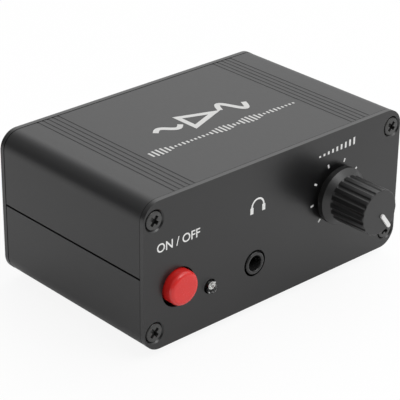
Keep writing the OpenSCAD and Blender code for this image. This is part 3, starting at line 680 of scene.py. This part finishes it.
def make_screw_tree():
    """Screws on points, each cut with a cross recess and turned by its own angle."""
    inputs = [("Geometry", "Geometry"), ("Screw", "Object"), ("Recess", "Vector"),
              ("Face turn", "Float"), ("Least turn", "Float"), ("Most turn", "Float"),
              ("Seed", "Int"), ("Finish", "Material")]
    tree, given, result = node_tree_with("screw_places", inputs)
    new, link = tree.nodes.new, tree.links.new
    blank = new("GeometryNodeObjectInfo")
    link(given.outputs["Screw"], blank.inputs["Object"])
    bar = new("GeometryNodeMeshCube")
    link(given.outputs["Recess"], bar.inputs["Size"])
    cut = new("GeometryNodeMeshBoolean")
    cut.operation = "DIFFERENCE"
    cut.solver = "EXACT"
    link(blank.outputs["Geometry"], cut.inputs["Mesh 1"])
    for quarter in (0, 1):
        arm = new("GeometryNodeTransform")
        arm.inputs["Rotation"].default_value = (0, math.radians(90 * quarter), 0)
        link(bar.outputs["Mesh"], arm.inputs["Geometry"])
        link(arm.outputs["Geometry"], cut.inputs["Mesh 2"])
    own_turn = new("FunctionNodeRandomValue")
    own_turn.data_type = "FLOAT"
    link(given.outputs["Least turn"], own_turn.inputs[DRAW_LEAST])
    link(given.outputs["Most turn"], own_turn.inputs[DRAW_MOST])
    link(given.outputs["Seed"], own_turn.inputs["Seed"])
    turn = new("ShaderNodeCombineXYZ")
    link(own_turn.outputs[DRAW_RESULT], turn.inputs["Y"])
    link(given.outputs["Face turn"], turn.inputs["Z"])
    rotation = new("FunctionNodeEulerToRotation")
    link(turn.outputs[0], rotation.inputs[0])
    place = new("GeometryNodeInstanceOnPoints")
    link(given.outputs["Geometry"], place.inputs["Points"])
    link(cut.outputs["Mesh"], place.inputs["Instance"])
    link(rotation.outputs[0], place.inputs["Rotation"])
    close_tree(tree, given, result, place.outputs["Instances"])
    return tree


head_r = 2.2 * MM
head_face_r = 2.12 * MM
head_sunk = 0.05 * MM
head_bend = 0.26 * MM
cone_start = 0.38 * MM
cone_end = 1.25 * MM
shank_r = 1.3 * MM
tip_start = 7.5 * MM
tip_r = 0.9 * MM
screw_end = 8 * MM
screw_outline = [(0, head_sunk)]
screw_outline += arc(head_face_r - head_bend, head_sunk + head_bend, head_bend, 90, 0, 4)
screw_outline += [(head_face_r, cone_start), (shank_r, cone_end)]
screw_outline += [(shank_r, tip_start), (tip_r, screw_end), (0, screw_end)]
screw_blank = lathe("screw_blank", screw_outline, 0, 0, 48)
screw_tree = make_screw_tree()
for end, corner, turned in (("front", 0, 0.0), ("rear", 1, math.pi)):
    low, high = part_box(end + "_screws")
    plate_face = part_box(end + "_plate")[corner].y
    places = [(x, plate_face, z) for x in (low.x + head_r, high.x - head_r)
              for z in (low.z + head_r, high.z - head_r)]
    points = bpy.data.meshes.new(end + "_screw_points")
    points.from_pydata(places, [], [])
    screws = grow(end + "_screws_cut", points, screw_tree,
                  {"Screw": screw_blank, "Recess": (0.8 * MM, 2.0 * MM, 2.5 * MM),
                   "Face turn": turned, "Least turn": math.radians(38),
                   "Most turn": math.radians(52), "Seed": 4, "Finish": screw_finish})
    screws.data.set_sharp_from_angle(angle=smooth_angle)
    fit(screws, "case", screw_finish, "black_screw", end + "_screws")
bpy.data.objects.remove(screw_blank)

# Power button
# A round cap of glossy red plastic with a well rounded front edge, pushed on the plunger of
# the switch.
red_cap = make_finish("red_cap", (0.66, 0.017, 0.015), (0.74, 0.024, 0.021),
                      (0.22, 0.3), 0.2 * MM, 0.002 * MM, 5 * MM)
cap_low, cap_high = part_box("button_cap")
cap_x = (cap_low.x + cap_high.x) / 2
cap_z = (cap_low.z + cap_high.z) / 2
cap_r = (cap_high.x - cap_low.x) / 2
cap_bend = 1.1 * MM
cap_flat_r = cap_r - cap_bend
cap_crown = 0.03 * MM
cap_edge = 0.2 * MM
cap_outline = [(0, cap_low.y), (0.55 * cap_flat_r, cap_low.y + cap_crown / 2)]
cap_outline += arc(cap_flat_r, cap_low.y + cap_bend + cap_crown, cap_bend, 90, 0, 8)
cap_outline += [(cap_r, cap_high.y - cap_edge), (cap_r - cap_edge, cap_high.y), (0, cap_high.y)]
cap = lathe("button_cap_gloss", cap_outline, cap_x, cap_z)
fit(cap, "button", red_cap, "red_cap", "button_cap")

# Volume knob
# A black moulded knob with a conical skirt and eighteen flutes that run out over the rounded
# edge of its top, pushed on the flat of the shaft. A white pointer rib is let into the top.
knob_plastic = make_finish("knob_plastic", (0.005, 0.005, 0.0052), (0.0068, 0.0068, 0.007),
                           (0.37, 0.45), 0.16 * MM, 0.003 * MM, 6 * MM,
                           extra={"Specular IOR Level": 0.62})
top_y = knob_low.y + 0.02 * MM
foot_y = knob_high.y
skirt_r = (knob_high.x - knob_low.x) / 2
waist_r = 5.4 * MM
top_r = 5.35 * MM
top_bend = 0.3 * MM
top_ring = 0.3 * MM
flute_count = 18
points_per_flute = 20
flute_deep = 0.25 * MM
flute_front = knob_low.y - 0.05 * MM
flute_back = face_y - 3.7 * MM
flute_fade = 0.35 * MM
fade_rows = 4
skirt_y = face_y - 2.45 * MM
skirt_bend = 0.15 * MM
cavity_r = 5.5 * MM
cavity_y = face_y - 2.7 * MM
knob_outline = [(0, top_y), (top_r - top_bend - top_ring, top_y)]
knob_outline += arc(top_r - top_bend, top_y + top_bend, top_bend, 90, 4, 9)
side_rows = [top_y + 1.3 * top_bend]
side_rows += [flute_back - flute_fade * k / fade_rows for k in range(fade_rows, -1, -1)]
slope = (waist_r - top_r) / (flute_back - top_y)
knob_outline += [(top_r + slope * (y - top_y), y) for y in side_rows]
knob_outline += [(skirt_r - 0.8 * skirt_bend, skirt_y - skirt_bend), (skirt_r, skirt_y)]
knob_outline += [(skirt_r, foot_y - skirt_bend), (skirt_r - skirt_bend, foot_y)]
knob_outline += [(cavity_r, foot_y), (cavity_r, cavity_y), (0, cavity_y)]


def make_flute_tree():
    """Presses even flutes into the side of a turned piece, between two depths."""
    inputs = [("Geometry", "Geometry"), ("Axis", "Vector"), ("Flutes", "Float"), ("Depth", "Float"),
              ("Front", "Float"), ("Back", "Float"), ("Fade", "Float"), ("Finish", "Material")]
    tree, given, result = node_tree_with("knob_flutes", inputs)
    new, link = tree.nodes.new, tree.links.new

    def feed(socket, value):
        if isinstance(value, float):
            socket.default_value = value
        else:
            link(value, socket)

    def math_node(operation, first, second):
        node = new("ShaderNodeMath")
        node.operation = operation
        feed(node.inputs[0], first)
        feed(node.inputs[1], second)
        return node.outputs[0]

    def fade_between(value, start, end):
        node = new("ShaderNodeMapRange")
        node.interpolation_type = "SMOOTHSTEP"
        feed(node.inputs["Value"], value)
        feed(node.inputs["From Min"], start)
        feed(node.inputs["From Max"], end)
        return node.outputs["Result"]

    position = new("GeometryNodeInputPosition")
    from_axis = new("ShaderNodeVectorMath")
    from_axis.operation = "SUBTRACT"
    link(position.outputs[0], from_axis.inputs[0])
    link(given.outputs["Axis"], from_axis.inputs[1])
    flat = new("ShaderNodeVectorMath")
    flat.operation = "MULTIPLY"
    flat.inputs[1].default_value = (1, 0, 1)
    link(from_axis.outputs[0], flat.inputs[0])
    outward = new("ShaderNodeVectorMath")
    outward.operation = "NORMALIZE"
    link(flat.outputs[0], outward.inputs[0])
    across = new("ShaderNodeSeparateXYZ")
    link(flat.outputs[0], across.inputs[0])
    whole = new("ShaderNodeSeparateXYZ")
    link(position.outputs[0], whole.inputs[0])
    angle = math_node("ARCTAN2", across.outputs["Z"], across.outputs["X"])
    turned = math_node("ADD", math_node("MULTIPLY", angle, given.outputs["Flutes"]), math.pi)
    swing = math_node("COSINE", turned, 0.0)
    rib_end, valley_floor = -0.2, 1.0
    valley = fade_between(swing, rib_end, valley_floor)
    depth_y = whole.outputs["Y"]
    front = fade_between(depth_y, given.outputs["Front"],
                         math_node("ADD", given.outputs["Front"], given.outputs["Fade"]))
    back = fade_between(depth_y, given.outputs["Back"],
                        math_node("SUBTRACT", given.outputs["Back"], given.outputs["Fade"]))
    press = math_node("MULTIPLY", math_node("MULTIPLY", front, back), valley)
    press = math_node("MULTIPLY", press, math_node("MULTIPLY", given.outputs["Depth"], -1.0))
    move = new("ShaderNodeVectorMath")
    move.operation = "SCALE"
    link(outward.outputs[0], move.inputs[0])
    link(press, move.inputs["Scale"])
    shape = new("GeometryNodeSetPosition")
    link(given.outputs["Geometry"], shape.inputs["Geometry"])
    link(move.outputs[0], shape.inputs["Offset"])
    close_tree(tree, given, result, shape.outputs[0])
    return tree


knob_blank = lathe("knob_blank", knob_outline, knob_x, knob_z, flute_count * points_per_flute)
knob = grow("volume_knob_fluted", knob_blank.data.copy(), make_flute_tree(),
            {"Axis": (knob_x, 0, knob_z), "Flutes": float(flute_count), "Depth": flute_deep,
             "Front": flute_front, "Back": flute_back, "Fade": flute_fade, "Finish": knob_plastic})
bpy.data.objects.remove(knob_blank)
fit(knob, "knob", knob_plastic, "knob_plastic", "volume_knob")
pointer_white = make_finish("pointer_white", (0.74, 0.74, 0.73), (0.82, 0.82, 0.81),
                            (0.4, 0.5), 0.12 * MM, 0.003 * MM, 2 * MM)
pointer = soften("knob_pointer", "knob_pointer_painted", 0.08 * MM)
fit(pointer, "knob", pointer_white, "pointer_white", "knob_pointer")

# Studio
# A pale floor, a soft surround that is brightest above and at the back on the right, one soft
# key lamp over the front, and the camera at the photograph's angle.
floor_half = 3.0
floor_mesh = bpy.data.meshes.new("floor")
floor_corners = [(-floor_half, -floor_half, 0), (floor_half, -floor_half, 0),
                 (floor_half, floor_half, 0), (-floor_half, floor_half, 0)]
floor_mesh.from_pydata(floor_corners, [], [(0, 1, 2, 3)])
floor = add_piece("floor", floor_mesh)
floor_finish = bpy.data.materials.new("pale_floor")
floor_finish.use_nodes = True
floor_nodes = floor_finish.node_tree.nodes
floor_link = floor_finish.node_tree.links.new
floor_shader = floor_nodes["Principled BSDF"]
floor_shader.inputs["Base Color"].default_value = (0.95, 0.95, 0.95, 1)
floor_shader.inputs["Roughness"].default_value = 0.9
floor_shader.inputs["Specular IOR Level"].default_value = 0.0
glow = floor_nodes.new("ShaderNodeEmission")
rays = floor_nodes.new("ShaderNodeLightPath")
share = None
for kind, part in (("Is Camera Ray", 0.9), ("Is Transmission Ray", 0.9), ("Is Glossy Ray", 0.28)):
    portion = floor_nodes.new("ShaderNodeMath")
    portion.operation = "MULTIPLY_ADD"
    portion.inputs[1].default_value = part
    portion.inputs[2].default_value = 0.0
    floor_link(rays.outputs[kind], portion.inputs[0])
    if share:
        floor_link(share, portion.inputs[2])
    share = portion.outputs[0]
pale = floor_nodes.new("ShaderNodeMixShader")
floor_link(share, pale.inputs[0])
floor_link(floor_shader.outputs[0], pale.inputs[1])
floor_link(glow.outputs[0], pale.inputs[2])
under = floor_nodes.new("ShaderNodeMixShader")
below = floor_nodes.new("ShaderNodeNewGeometry")
open_below = floor_nodes.new("ShaderNodeBsdfTransparent")
floor_link(below.outputs["Backfacing"], under.inputs[0])
floor_link(pale.outputs[0], under.inputs[1])
floor_link(open_below.outputs[0], under.inputs[2])
floor_link(under.outputs[0], floor_nodes["Material Output"].inputs["Surface"])
floor_mesh.materials.append(floor_finish)

world = bpy.data.worlds.new("studio")
scene.world = world
world.use_nodes = True
sky = world.node_tree.nodes
direction = sky.new("ShaderNodeTexCoord")
compass = sky.new("ShaderNodeSeparateXYZ")
sky["Background"].inputs["Color"].default_value = (1, 1, 1, 1)
sky_link = world.node_tree.links.new
sky_link(direction.outputs["Generated"], compass.inputs[0])
strength = None
for way, start, end, least, most in (("X", -0.15, 0.65, 0.3, 1.26), ("Y", -0.7, 0.3, 0.7, 1.0),
                                     ("Z", 0.2, 0.75, 0.7, 1.8)):
    ramp = sky.new("ShaderNodeMapRange")
    ramp.interpolation_type = "SMOOTHSTEP"
    ramp.inputs["From Min"].default_value = start
    ramp.inputs["From Max"].default_value = end
    ramp.inputs["To Min"].default_value = least
    ramp.inputs["To Max"].default_value = most
    sky_link(compass.outputs[way], ramp.inputs["Value"])
    product = sky.new("ShaderNodeMath")
    product.operation = "MULTIPLY"
    product.inputs[1].default_value = 1.0
    sky_link(ramp.outputs["Result"], product.inputs[0])
    if strength:
        sky_link(strength, product.inputs[1])
    strength = product.outputs[0]
sky_link(strength, sky["Background"].inputs["Strength"])

key_light = bpy.data.lights.new("key", "AREA")
key_light.size = 0.4
key_light.energy = 2.1
key = add_piece("key", key_light)
key.location = (0.12, -0.53, 0.66)
key.rotation_euler = (-key.location).to_track_quat("-Z", "Y").to_euler()

camera_aim = Vector((-1.14, 2.31, 16.91)) * MM
camera_away = 390.3 * MM
camera_side = math.radians(-42.65)
camera_rise = math.radians(26.5)
camera_roll = math.radians(0.65)
camera_data = bpy.data.cameras.new("camera")
camera_data.lens = 155.0
camera_data.sensor_width = 36.0
camera = add_piece("camera", camera_data)
away = Vector((math.sin(camera_side) * math.cos(camera_rise),
               -math.cos(camera_side) * math.cos(camera_rise), math.sin(camera_rise)))
camera.location = camera_aim + away * camera_away
camera.rotation_euler = ((-away).to_track_quat("-Z", "Y").to_matrix()
                         @ Matrix.Rotation(camera_roll, 3, "Z")).to_euler()
scene.camera = camera
scene.view_settings.view_transform = "Standard"
